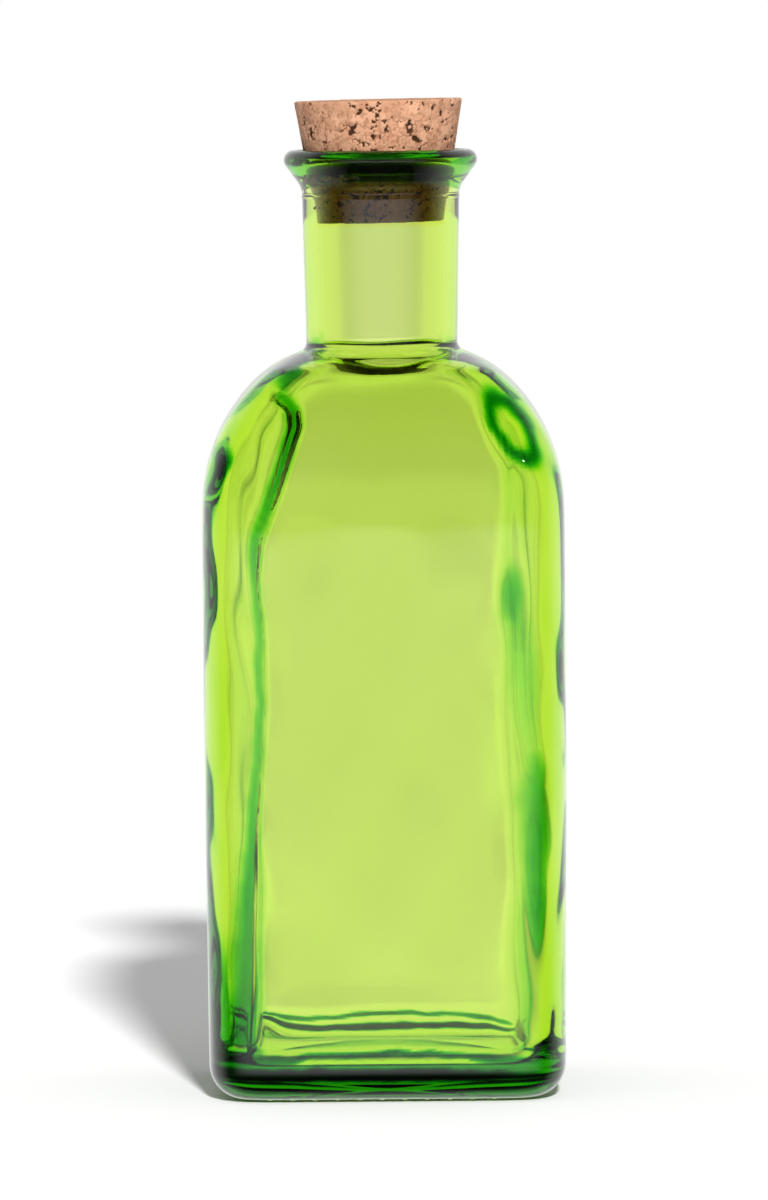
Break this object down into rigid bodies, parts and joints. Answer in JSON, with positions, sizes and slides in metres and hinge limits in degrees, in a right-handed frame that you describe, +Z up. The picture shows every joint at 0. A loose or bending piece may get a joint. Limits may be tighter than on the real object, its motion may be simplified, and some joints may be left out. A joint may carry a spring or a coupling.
{
  "type": "apothecary bottle",
  "caption": "Square green glass apothecary bottle with rounded shoulders, a round neck with a flared lip, and a tapered cork stopper that pulls out.",
  "frame": {"origin": "middle of the flat face that the bottle rests on", "axes": "+Z up along the neck's axis, X and Y square to the body's flat sides"},
  "size_m": [0.072, 0.072, 0.1977],
  "materials": {
    "green_glass": "clear yellow-green glass, fire-polished, slightly wavy",
    "pressed_cork": "fine pressed cork granules, matt, with small dark pits"
  },
  "bodies": {
    "bottle": {"glass_bottle": "green_glass"},
    "stopper": {"cork_stopper": "pressed_cork"}
  },
  "joints": [
    {"name": "cork_pull", "type": "slide", "parent": "bottle", "child": "stopper", "axis": [0, 0, 1], "range_m": [0, 0.06]}
  ]
}
